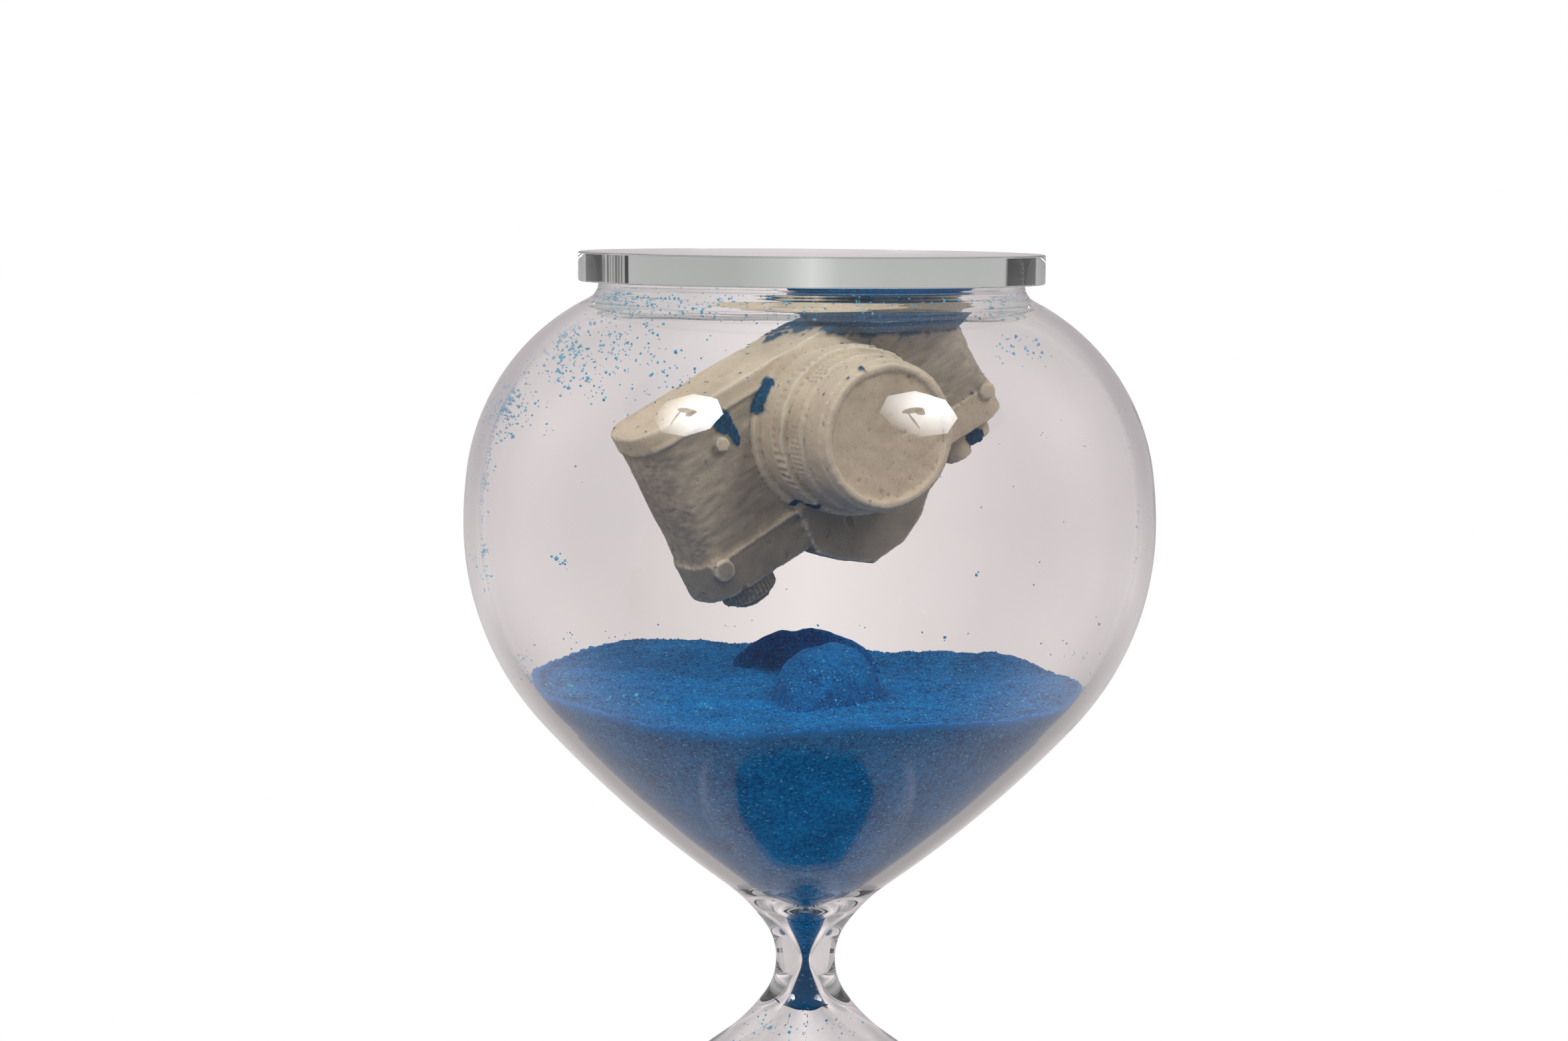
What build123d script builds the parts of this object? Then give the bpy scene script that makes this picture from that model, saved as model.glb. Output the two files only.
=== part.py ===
from build123d import *
import math
import os

# Large blown-glass hourglass. Two bulbs meet in a thick neck with a fine bore, both mouths are
# closed by glued glass plates, coloured sand lies inside, and a cast still-camera shape is
# glued under the upper plate. Millimetres, +Z up, origin at the middle of the lower plate's
# underside. The vessel is drawn about its waist, and then lifted to WAIST_Z.

# End plates: polished discs of clear sheet glass
PLATE_R = 78.0
PLATE_T = 9.8
PLATE_BEVEL = 0.6

# Adhesive between each plate and the ground lip of its bulb
BOND_T = 0.3

# Outside of one bulb, from the waist to the lip, as arcs of (radius, turn in degrees).
# A negative turn swings the outline away from the axis, a positive one back towards it.
WAIST_R = 10.0
NECK_ARC = (21.3, -35.4)
FLARE_ARC = (64.6, -18.6)
CONE_ARC = (409.0, 11.6)
BOWL_ARC = (98.5, 42.4)
SHOULDER_ARC = (140.0, 7.6)
CROWN_ARC = (74.1, 55.7)
LIP_ARC = (6.2, -63.3)

# Inside of one bulb: the wall is even over the bulb and thickens into the neck, where a fine
# bore opens in an arc, a short straight run and a wider arc
WALL = 5.2
BORE_R = 1.2
BORE_FLARE = (10.0, -19.0)
BORE_RUN = 9.0
NECK_HALF = 30.0

# Sand, with levels measured from the waist
SAND_LEVEL = 94.0
SAND_TILT = (1.2, 1.1)
PLUG_DEPTH = 17.5
PILE_HEIGHT = 74.0
PILE_SLOPE = 28.0
PILE_CREST_R = 1.5

# Crusted lumps on the upper sand: half sizes, centre from the waist, and turn about Z
CRUST_LUMPS = (
    ((25.0, 9.5, 17.5), (-1.0, 22.0, 93.0), -6.0),
    ((17.0, 25.0, 18.0), (7.0, -33.0, 93.0), -20.0),
)
CRUST_GAP = 0.4

# Grains falling below the plug
GRAIN = 0.9
GRAIN_COUNT = 28
GRAIN_STEP = 4.8

# Cast camera, in its own frame: X along the body, Y towards the lens, Z towards the prism
BODY_W = 133.0
BODY_D = 30.0
BODY_H = 65.3
BODY_END_R = 12.0
BASE_BAND = 7.0
TOP_BAND = 14.4
PANEL_DEPTH = 1.0
LOW_TOP_X = 27.0
LOW_TOP_DROP = 2.3
LENS_X = -0.3
LENS_Z = 32.3
LENS_RINGS = ((31.0, 3.0), (28.6, 8.0), (29.6, 8.0), (27.2, 9.0), (25.8, 9.5))
LENS_START = -2.0
RIM_R = 24.4
RIM_LENGTH = 2.0
RIM_WIDTH = 2.6
RIM_RECESS = 1.4
PRISM_OUTLINE = (
    (-26.0, -14.0), (-26.0, 2.8), (-20.6, 8.6), (-8.3, 17.9), (6.0, 17.2), (16.0, 12.5),
    (24.0, 5.6), (25.0, -14.0)
)
PRISM_RISE = 17.9
PRISM_BROW = 1.5
PRISM_BACK_SLOPE = 35.0

# Knobs on the cast's top band: radius, X, Y, and the two ends in Z
TOP_KNOBS = (
    (10.0, -48.5, -14.0, 60.0, 72.5),
    (7.0, -48.5, -14.0, 60.0, 75.0),
    (8.0, 52.5, -14.5, 58.0, 70.2),
    (5.2, 43.6, -11.0, 58.0, 72.8),
)
# Studs on the cast's front: radius, X, Z, and how far they stand out
FRONT_STUDS = (
    (3.8, -59.5, 54.0, 2.2),
    (2.7, -40.0, 16.2, 1.6),
    (3.2, 59.0, 52.5, 1.6),
)
CAST_PLACE = (-5.4, 0.0, 209.6)
CAST_TURN = (-162.3, 24.1, -33.0)

# Glued bed that holds the cast under the upper plate
BED_DEPTH = 14.5
BED_HALF = (34.0, 20.0)
BED_CENTRE = (24.0, 22.0)
CAST_CUT = 222.0


def walk(start, moves):
    """Arcs and straight runs joined tangent to tangent, starting straight up from start."""
    edges = []
    point = Vector(*start)
    heading = Vector(0, 1)
    for radius, turn in moves:
        if radius is None:
            edge = Line(point, point + heading * turn)
        else:
            edge = JernArc(point, heading, radius, turn)
        edges.append(edge)
        point = edge @ 1
        heading = edge % 1
    return edges


OUTER_MOVES = (NECK_ARC, FLARE_ARC, CONE_ARC, BOWL_ARC, SHOULDER_ARC, CROWN_ARC, LIP_ARC)
OUTER = walk((WAIST_R, 0), OUTER_MOVES)
LIP = OUTER[-1] @ 1
LIP_R = LIP.X
LIP_Z = LIP.Y
PLATE_Z = LIP_Z + BOND_T
HALF_HEIGHT = PLATE_Z + PLATE_T
WAIST_Z = HALF_HEIGHT


def inner_edges():
    """The bore's flares, a straight cone, and then the outside's arcs set in by the wall.

    The wider flare is the arc that touches both the fine run and the cone."""
    steepest = math.radians(-(NECK_ARC[1] + FLARE_ARC[1]))
    slope = math.radians(-BORE_FLARE[1])
    bend = steepest - slope
    fine = [BORE_FLARE, (None, BORE_RUN)]
    cone = OUTER[1] @ 1 + WALL * Vector(-math.cos(steepest), math.sin(steepest))
    gap = cone - walk((BORE_R, 0), fine)[-1] @ 1
    tangent = (gap.Y * math.sin(steepest) - gap.X * math.cos(steepest)) / math.sin(bend)
    reach = (gap.X * math.cos(slope) - gap.Y * math.sin(slope)) / math.sin(bend)
    flare = (tangent / math.tan(bend / 2), -math.degrees(bend))
    moves = fine + [flare, (None, reach - tangent)]
    for radius, turn in OUTER_MOVES[2:]:
        moves.append((radius + WALL if turn < 0 else radius - WALL, turn))
    return walk((BORE_R, 0), moves)


INNER = inner_edges()
MOUTH_R = (INNER[-1] @ 1).X


def turned(edges, low, high):
    """The solid inside an outline from the axis point low to the axis point high."""
    first = edges[0] @ 0
    last = edges[-1] @ 1
    closing = [Line((0, low), first), Line(last, (0, high)), Line((0, high), (0, low))]
    face = make_face(edges + closing)
    return revolve(Plane.XZ * face, Axis.Z)


def make_half_face(edges):
    """The face between the axis and an outline that is reflected in the waist."""
    below = [mirror(edge, Plane.XZ) for edge in edges]
    top = edges[-1] @ 1
    closing = [
        Line(top, (0, top.Y)),
        Line((0, top.Y), (0, -top.Y)),
        Line((0, -top.Y), (top.X, -top.Y)),
    ]
    return make_face(edges + below + closing)


def block(low, high, radius=200.0):
    """A wide cylinder between two levels, used to trim turned solids."""
    return Pos(0, 0, (low + high) / 2) * Cylinder(radius, high - low)


def lifted(shape):
    return Pos(0, 0, WAIST_Z) * shape


def flipped(shape):
    return mirror(shape, Plane.XY)


def end_plate():
    disc = Pos(0, 0, PLATE_Z + PLATE_T / 2) * Cylinder(PLATE_R, PLATE_T)
    return chamfer(disc.edges(), PLATE_BEVEL)


def bond_ring():
    ring = Cylinder(LIP_R, BOND_T) - Cylinder(MOUTH_R, BOND_T)
    return Pos(0, 0, LIP_Z + BOND_T / 2) * ring


def bulb():
    outside = turned(OUTER, 0, LIP_Z)
    inside = turned(INNER, 0, LIP_Z)
    return (outside - inside) & block(NECK_HALF, LIP_Z)


def neck():
    """The thick throat in one piece, turned from a face reflected in the waist."""
    ring = Plane.XZ * (make_half_face(OUTER) - make_half_face(INNER))
    return revolve(ring, Axis.Z) & block(-NECK_HALF, NECK_HALF)


def cavity():
    return turned(INNER, 0, LIP_Z)


def sand_top():
    """Everything under the tilted level of the upper sand."""
    slab = Pos(0, 0, -100) * Box(400, 400, 200)
    return Pos(0, 0, SAND_LEVEL) * Rotation(SAND_TILT[0], SAND_TILT[1], 0) * slab


def upper_sand():
    return cavity() & sand_top() & block(NECK_HALF, SAND_LEVEL + 20)


def throat_sand(throat):
    """Sand in the funnel, the bore and the start of the lower flare, inside the neck."""
    pieces = (block(-PLUG_DEPTH, NECK_HALF) - throat).solids()
    return pieces.sort_by(SortBy.VOLUME)[0]


def lower_sand():
    """A heap at its angle of repose over the lower plate, spread out to the bulb's wall."""
    rise = math.tan(math.radians(PILE_SLOPE))
    height = PILE_HEIGHT - PILE_CREST_R * rise
    heap = Cone(PILE_HEIGHT / rise, PILE_CREST_R, height)
    on_plate = Pos(0, 0, -LIP_Z + height / 2) * heap
    plug = Pos(0, 0, -LIP_Z - BOND_T / 2) * Cylinder(MOUTH_R, BOND_T)
    return (flipped(cavity()) & on_plate) + plug


def lump(half_size, centre, turn):
    """One crusted lump, an egg shape that sinks into the sand's level."""
    ball = scale(Sphere(1.0), by=half_size)
    return Pos(*centre) * Rotation(0, 0, turn) * ball


def crust_lumps():
    """Two lumps with a crack between them, resting on the sand."""
    back, front = [lump(*row) for row in CRUST_LUMPS]
    wide = tuple(size + CRUST_GAP for size in CRUST_LUMPS[1][0])
    back = back - lump(wide, CRUST_LUMPS[1][1], CRUST_LUMPS[1][2])
    bed = sand_top()
    return [back - bed, front - bed]


def falling_grains():
    """Loose grains in a thin stream from the plug down to the heap."""
    grains = []
    for index in range(GRAIN_COUNT):
        angle = index * 2.4
        reach = 0.6 + 1.6 * ((index * 0.618) % 1.0)
        height = -PLUG_DEPTH - 2.0 - index * GRAIN_STEP
        place = Pos(reach * math.cos(angle), reach * math.sin(angle), height)
        grains.append(place * Rotation(angle * 40, angle * 25, 0) * Box(GRAIN, GRAIN, GRAIN))
    return grains


def cast_body():
    """Body slab with round ends, a base band, a top band and a sunken panel between them."""
    outline = RectangleRounded(BODY_W, BODY_D, BODY_END_R)
    sunk = 2 * PANEL_DEPTH
    panel_outline = RectangleRounded(BODY_W - sunk, BODY_D - sunk, BODY_END_R - PANEL_DEPTH)
    base = extrude(outline, BASE_BAND)
    panel = extrude(panel_outline, BODY_H - TOP_BAND)
    top = Pos(0, 0, BODY_H - TOP_BAND) * extrude(outline, TOP_BAND)
    step = Pos(BODY_W / 2 + LOW_TOP_X, 0, BODY_H) * Box(BODY_W, BODY_D * 2, 2 * LOW_TOP_DROP)
    return Pos(0, -BODY_D / 2, 0) * (base + panel + top - step)


def facing(radius, length):
    """A disc or rod whose axis runs along the lens."""
    return Rotation(90, 0, 0) * Cylinder(radius, length)


def cast_lens():
    """Mount flange, stepped barrel rings and a front rim with a shallow dish."""
    depth = LENS_START
    barrel = None
    for radius, length in LENS_RINGS:
        ring = Pos(0, depth + length / 2, 0) * facing(radius, length)
        barrel = ring if barrel is None else barrel + ring
        depth += length
    rim = Pos(0, depth, 0) * facing(RIM_R, 2 * RIM_LENGTH)
    dish = Pos(0, depth + RIM_LENGTH, 0) * facing(RIM_R - RIM_WIDTH, 2 * RIM_RECESS)
    return Pos(LENS_X, 0, LENS_Z) * (barrel + rim - dish)


def cast_prism():
    """The hump over the lens: a faceted outline along the lens axis, with a sloped back."""
    front = make_face(Polyline(*PRISM_OUTLINE, close=True))
    hump = extrude(Plane.XZ * front, BODY_D)
    slope = Pos(0, -BODY_D, PRISM_RISE) * Rotation(PRISM_BACK_SLOPE, 0, 0) * Box(80, 60, 12)
    return Pos(LENS_X, PRISM_BROW, BODY_H) * (hump - slope)


def cast_controls():
    """Crank, dial and shutter knob on the top band, then the lug screws and a small button."""
    shape = None
    for radius, x, y, low, high in TOP_KNOBS:
        knob = Pos(x, y, (low + high) / 2) * Cylinder(radius, high - low)
        shape = knob if shape is None else shape + knob
    for radius, x, z, reach in FRONT_STUDS:
        shape = shape + Pos(x, 0, z) * facing(radius, 2 * reach)
    return shape


def cast_camera():
    """The whole cast in one solid, cut level where it meets the glued bed."""
    shape = cast_body() + cast_lens() + cast_prism() + cast_controls()
    placed = Pos(*CAST_PLACE) * Rotation(*CAST_TURN) * shape
    return placed & block(0, CAST_CUT)


def camera_bond_pad(cast):
    """Glued sand bed between the upper plate and the cast, pressed around its upper corner."""
    bed = extrude(Ellipse(*BED_HALF), BED_DEPTH)
    placed = Pos(BED_CENTRE[0], BED_CENTRE[1], PLATE_Z - BED_DEPTH) * Rotation(0, 0, 18) * bed
    return placed - cast


def build():
    cast = cast_camera()
    throat = neck()
    nodes = {
        "lower_end_plate": flipped(end_plate()),
        "upper_end_plate": end_plate(),
        "lower_bond_ring": flipped(bond_ring()),
        "upper_bond_ring": bond_ring(),
        "lower_bulb": flipped(bulb()),
        "upper_bulb": bulb(),
        "neck": throat,
        "upper_sand": upper_sand(),
        "throat_sand": throat_sand(throat),
        "lower_sand": lower_sand(),
        "sand_crust_lumps": Compound(children=crust_lumps()),
        "falling_grains": Compound(children=falling_grains()),
        "cast_camera": cast,
        "camera_bond_pad": camera_bond_pad(cast),
    }
    os.makedirs("parts", exist_ok=True)
    for name, shape in nodes.items():
        export_step(lifted(shape), "parts/" + name + ".step")


build()
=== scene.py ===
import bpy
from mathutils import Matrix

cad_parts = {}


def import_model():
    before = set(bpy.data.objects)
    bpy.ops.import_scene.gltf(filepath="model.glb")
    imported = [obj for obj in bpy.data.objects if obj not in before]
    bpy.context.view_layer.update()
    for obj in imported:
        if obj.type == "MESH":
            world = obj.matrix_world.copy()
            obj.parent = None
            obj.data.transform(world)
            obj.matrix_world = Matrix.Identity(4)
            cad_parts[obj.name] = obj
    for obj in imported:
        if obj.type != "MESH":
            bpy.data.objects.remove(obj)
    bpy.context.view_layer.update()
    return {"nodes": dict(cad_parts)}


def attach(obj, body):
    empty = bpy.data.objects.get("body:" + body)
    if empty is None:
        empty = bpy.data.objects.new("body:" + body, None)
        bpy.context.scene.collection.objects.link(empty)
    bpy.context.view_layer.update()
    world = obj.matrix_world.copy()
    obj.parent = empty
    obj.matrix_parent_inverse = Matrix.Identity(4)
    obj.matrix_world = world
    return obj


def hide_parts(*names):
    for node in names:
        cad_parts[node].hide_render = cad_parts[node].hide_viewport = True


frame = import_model()

import itertools
import math

import bmesh
import bpy
import numpy as np
from mathutils import Matrix, Vector

# Everything below is drawn in millimetres about the waist of the vessel, with +Z up and -Y
# towards the viewer, and moved into the row frame in metres when a mesh is made.
MM = 0.001

# The vessel's outlines, as in the CAD source: arcs of (radius, turn in degrees)
WAIST_R = 10.0
NECK_ARC = (21.3, -35.4)
FLARE_ARC = (64.6, -18.6)
OUTER_MOVES = (
    NECK_ARC, FLARE_ARC, (409.0, 11.6), (98.5, 42.4), (140.0, 7.6), (74.1, 55.7), (6.2, -63.3)
)
WALL = 5.2
BORE_R = 1.2
BORE_FLARE = (10.0, -19.0)
BORE_RUN = 9.0
BOND_T = 0.3
PLATE_R = 78.0
PLATE_T = 9.8
PLATE_BEVEL = 0.6
SAND_GAP = 0.25
PLUG_DEPTH = 17.5
PILE_HEIGHT = 74.0
PILE_SLOPE = 28.0
BED_DEPTH = 14.5
BED_HALF = (34.0, 20.0)
BED_CENTRE = (24.0, 22.0)
BED_TURN = 18.0
CAST_PLACE = (-5.4, 0.0, 209.6)
CAST_TURN = (-162.3, 24.1, -33.0)
AROUND = 160
SAND_EDGE_Z = 94.0
GRAIN_LIFT = 0.12
TOOLED_FROM = 212.0
DEEPEST_BOUNCE = 8.5


# ---------------------------------------------------------------- shapes

def walk(start, moves, reach=4.0, swing=2.0):
    """Points along arcs and straight runs joined tangent to tangent, starting straight up."""
    points = [np.array(start, float)]
    heading = math.pi / 2
    for radius, turn in moves:
        first = points[-1]
        if radius is None:
            steps = math.ceil(turn / reach)
            along = np.array((math.cos(heading), math.sin(heading)))
            points += [first + along * turn * k / steps for k in range(1, steps + 1)]
            continue
        side = math.copysign(radius, turn)
        centre = first + side * np.array((-math.sin(heading), math.cos(heading)))
        length = radius * math.radians(abs(turn))
        steps = max(math.ceil(abs(turn) / swing), math.ceil(length / reach))
        for k in range(1, steps + 1):
            angle = heading + math.radians(turn) * k / steps
            points.append(centre + side * np.array((math.sin(angle), -math.cos(angle))))
        heading += math.radians(turn)
    return np.array(points)


OUTER = walk((WAIST_R, 0), OUTER_MOVES)
LIP_R, LIP_Z = OUTER[-1]
PLATE_Z = LIP_Z + BOND_T
WAIST_Z = PLATE_Z + PLATE_T


def inner_moves():
    """A fine flare and run, a wider flare, a straight cone, and the outside's arcs set in."""
    steepest = math.radians(-(NECK_ARC[1] + FLARE_ARC[1]))
    flare_end = walk((WAIST_R, 0), (NECK_ARC, FLARE_ARC))[-1]
    cone = flare_end + WALL * np.array((-math.cos(steepest), math.sin(steepest)))
    run_end = walk((BORE_R, 0), (BORE_FLARE, (None, BORE_RUN)))[-1]
    slope = math.radians(-BORE_FLARE[1])
    gap = cone - run_end
    bend = steepest - slope
    tangent = (gap[1] * math.sin(steepest) - gap[0] * math.cos(steepest)) / math.sin(bend)
    run = (gap[0] * math.cos(slope) - gap[1] * math.sin(slope)) / math.sin(bend) - tangent
    moves = [
        BORE_FLARE, (None, BORE_RUN), (tangent / math.tan(bend / 2), -math.degrees(bend)), (None, run)
    ]
    for radius, turn in OUTER_MOVES[2:]:
        moves.append((radius + WALL if turn < 0 else radius - WALL, turn))
    return moves


INNER = walk((BORE_R, 0), inner_moves())
MOUTH_R = INNER[-1][0]


def inside_r(z):
    """The radius of the vessel's hollow at a height from the waist."""
    return np.interp(np.abs(z), INNER[:, 1], INNER[:, 0])


def lattice(cell, seed):
    """A repeatable number from 0 to 1 for each whole-number point."""
    x, y, z = cell[..., 0], cell[..., 1], cell[..., 2]
    mixed = (x * 374761393 + y * 668265263 + z * 1440662683 + seed * 362437) & 0xFFFFFFFF
    mixed = ((mixed ^ (mixed >> 13)) * 1274126177) & 0xFFFFFFFF
    return ((mixed ^ (mixed >> 16)) & 0xFFFFFF) / 0xFFFFFF


def noise(points, size, seed=0):
    """Smooth noise from -1 to 1, with lumps of about that size."""
    scaled = points / size + 0.37 * seed
    base = np.floor(scaled).astype(np.int64)
    part = scaled - base
    part = part * part * (3 - 2 * part)
    total = 0.0
    for corner in itertools.product((0, 1), repeat=3):
        share = np.prod(np.where(corner, part, 1 - part), axis=-1)
        total = total + share * lattice(base + np.array(corner), seed)
    return total * 2 - 1


def smooth(low, high, value):
    """0 below low, 1 above high, and an S curve between."""
    part = np.clip((value - low) / (high - low), 0, 1)
    return part * part * (3 - 2 * part)


def into_row(points):
    """Millimetres about the waist to metres in the row frame."""
    return (np.asarray(points, float) + (0, 0, WAIST_Z)) * MM


def add_mesh(name, points, faces, sharp=None):
    """A smooth-shaded mesh object from points in millimetres about the waist."""
    mesh = bpy.data.meshes.new(name)
    mesh.from_pydata(into_row(points).tolist(), [], faces)
    mesh.validate()
    obj = bpy.data.objects.new(name, mesh)
    bpy.context.scene.collection.objects.link(obj)
    finish_mesh(obj, sharp)
    return obj


def finish_mesh(obj, sharp=None):
    mesh = obj.data
    mesh.polygons.foreach_set("use_smooth", [True] * len(mesh.polygons))
    if sharp is not None:
        mesh.set_sharp_from_angle(angle=math.radians(sharp))
    mesh.update()


def ring_mesh(name, rings, closed=False, sharp=None):
    """A mesh through rings of points, joined in turn, with its two open ends capped."""
    count, around = rings.shape[:2]
    here = np.arange(around)
    there = (here + 1) % around
    faces = []
    for low in range(count if closed else count - 1):
        a = low * around
        b = ((low + 1) % count) * around
        faces += np.stack((a + here, a + there, b + there, b + here), 1).tolist()
    points = rings.reshape(-1, 3)
    if not closed:
        last = (count - 1) * around
        middles = np.array((rings[0].mean(0), rings[-1].mean(0)))
        points = np.concatenate((points, middles))
        bottom = len(points) - 2
        faces += [(j, i, bottom) for i, j in zip(here.tolist(), there.tolist())]
        faces += [(last + i, last + j, bottom + 1) for i, j in zip(here.tolist(), there.tolist())]
    return add_mesh(name, points, faces, sharp)


def turned(outline, around=AROUND):
    """Rings of points from an outline of (radius, height)."""
    angle = np.arange(around) * 2 * math.pi / around
    outline = np.asarray(outline, float)
    rings = np.empty((len(outline), around, 3))
    rings[..., 0] = outline[:, :1] * np.cos(angle)
    rings[..., 1] = outline[:, :1] * np.sin(angle)
    rings[..., 2] = outline[:, 1:]
    return rings


def flip(outline):
    """An outline reflected in the waist, from the top down."""
    return (outline * (1, -1))[::-1]


def set_values(obj, name, values):
    """A number for each point of a mesh, for its material to read."""
    layer = obj.data.attributes.new(name, "FLOAT", "POINT")
    layer.data.foreach_set("value", np.asarray(values, np.float32).ravel())


def read_points(obj):
    """The points of a mesh in millimetres about the waist."""
    flat = np.empty(len(obj.data.vertices) * 3)
    obj.data.vertices.foreach_get("co", flat)
    return flat.reshape(-1, 3) / MM - (0, 0, WAIST_Z)


def read_normals(obj):
    flat = np.empty(len(obj.data.vertices) * 3)
    obj.data.vertices.foreach_get("normal", flat)
    return flat.reshape(-1, 3)


def write_points(obj, points):
    obj.data.vertices.foreach_set("co", into_row(points).ravel())
    obj.data.update()


def remeshed_copy(name, node, size):
    """A new object with the shape of a CAD node, in even faces of that size in mm."""
    obj = bpy.data.objects.new(name, frame["nodes"][node].data.copy())
    bpy.context.scene.collection.objects.link(obj)
    modifier = obj.modifiers.new("even", "REMESH")
    modifier.mode = "VOXEL"
    modifier.voxel_size = size * MM
    made = bpy.data.meshes.new_from_object(obj.evaluated_get(bpy.context.evaluated_depsgraph_get()))
    obj.modifiers.clear()
    obj.data = made
    obj.data.materials.clear()
    finish_mesh(obj)
    return obj


def soften(obj, rounds):
    """Evens out a mesh by moving each point towards the mean of its neighbours."""
    points = read_points(obj)
    edges = np.empty(len(obj.data.edges) * 2, np.int64)
    obj.data.edges.foreach_get("vertices", edges)
    a, b = edges.reshape(-1, 2).T
    degree = np.bincount(np.concatenate((a, b)), minlength=len(points))[:, None]
    for _ in range(rounds):
        total = np.zeros_like(points)
        for axis in range(3):
            total[:, axis] = np.bincount(a, points[b, axis], len(points))
            total[:, axis] += np.bincount(b, points[a, axis], len(points))
        points = points * 0.5 + total / degree * 0.5
    write_points(obj, points)


# ---------------------------------------------------------------- materials

def new_material(name):
    material = bpy.data.materials.new(name)
    material.use_nodes = True
    material.node_tree.nodes.clear()
    return material


def add(tree, kind, settings=None, **inputs):
    """A node with its settings, and a value or a link for each input named."""
    node = tree.nodes.new(kind)
    for key, value in (settings or {}).items():
        setattr(node, key, value)
    for key, value in inputs.items():
        by_index = key[0] == "i" and key[1:].isdigit()
        socket = node.inputs[int(key[1:]) if by_index else key.replace("_", " ")]
        if isinstance(value, bpy.types.NodeSocket):
            tree.links.new(value, socket)
        else:
            socket.default_value = value
    return node


def where(tree):
    """Positions on the piece, in metres."""
    return add(tree, "ShaderNodeTexCoord").outputs["Object"]


def attribute(tree, name):
    return add(tree, "ShaderNodeAttribute", {"attribute_name": name}).outputs["Fac"]


def lumps(tree, place, size, detail=3.0, rough=0.55):
    """Noise with lumps of about that size in mm."""
    return add(
        tree, "ShaderNodeTexNoise", Vector=place, Scale=1 / (size * MM), Detail=detail,
        Roughness=rough
    ).outputs["Fac"]


def ramp(tree, value, *stops):
    """A colour ramp through (place, colour) stops."""
    node = add(tree, "ShaderNodeValToRGB", Fac=value)
    items = node.color_ramp.elements
    while len(items) < len(stops):
        items.new(0.5)
    for item, (place, colour) in zip(items, stops):
        item.position = place
        item.color = (*colour, 1) if len(colour) == 3 else colour
    return node.outputs["Color"]


def reach(tree, value, low, high, start=0.0, end=1.0):
    """Value from low to high, drawn out from start to end."""
    return add(
        tree, "ShaderNodeMapRange", {"clamp": True}, Value=value, i1=low, i2=high, i3=start, i4=end
    ).outputs["Result"]


def blend(tree, share, first, second, mode="MIX"):
    """Two colours mixed by a share."""
    node = tree.nodes.new("ShaderNodeMix")
    node.data_type = "RGBA"
    node.blend_type = mode
    for socket, value in ((node.inputs[0], share), (node.inputs[6], first), (node.inputs[7], second)):
        if isinstance(value, bpy.types.NodeSocket):
            tree.links.new(value, socket)
        elif isinstance(value, tuple):
            socket.default_value = (*value, 1)
        else:
            socket.default_value = value
    return node.outputs[2]


def sums(tree, kind, first, second=0.5):
    return add(tree, "ShaderNodeMath", {"operation": kind}, i0=first, i1=second).outputs[0]


def bump(tree, height, depth, strength=1.0):
    """A bumped normal, with depth in mm."""
    node = add(tree, "ShaderNodeBump", Strength=strength, Distance=depth * MM, Height=height)
    return node.outputs["Normal"]


def output(tree, shader):
    add(tree, "ShaderNodeOutputMaterial", Surface=shader)


def glass(name, tint, through, ior=1.5, smear=0.0, ripple=0.0):
    """Clear glass that only tints shadow and diffuse rays. Rays that have bounced for long inside
    the glass leave it as a flat pale tint, so that none ends black."""
    material = new_material(name)
    tree = material.node_tree
    body = add(tree, "ShaderNodeBsdfPrincipled", Base_Color=(*tint, 1), Roughness=0.0, IOR=ior)
    body.inputs["Transmission Weight"].default_value = 1.0
    place = where(tree)
    if smear:
        patch = reach(tree, lumps(tree, place, 9.0, 4.0), 0.55, 0.8, 0.0, smear)
        tree.links.new(patch, body.inputs["Roughness"])
    if ripple:
        wave = lumps(tree, place, 26.0, 1.0)
        tree.links.new(bump(tree, wave, ripple), body.inputs["Normal"])
    path = add(tree, "ShaderNodeLightPath")
    clear = add(tree, "ShaderNodeBsdfTransparent", Color=(*through, 1))
    lamp = sums(tree, "MAXIMUM", path.outputs["Is Shadow Ray"], path.outputs["Is Diffuse Ray"])
    mixed = add(tree, "ShaderNodeMixShader", i0=lamp, i1=body.outputs[0], i2=clear.outputs[0])
    deep = sums(tree, "GREATER_THAN", path.outputs["Ray Depth"], DEEPEST_BOUNCE)
    late = add(tree, "ShaderNodeBsdfTransparent", Color=(0.50, 0.54, 0.53, 1))
    mixed = add(tree, "ShaderNodeMixShader", i0=deep, i1=mixed.outputs[0], i2=late.outputs[0])
    output(tree, mixed.outputs[0])
    return material


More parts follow.
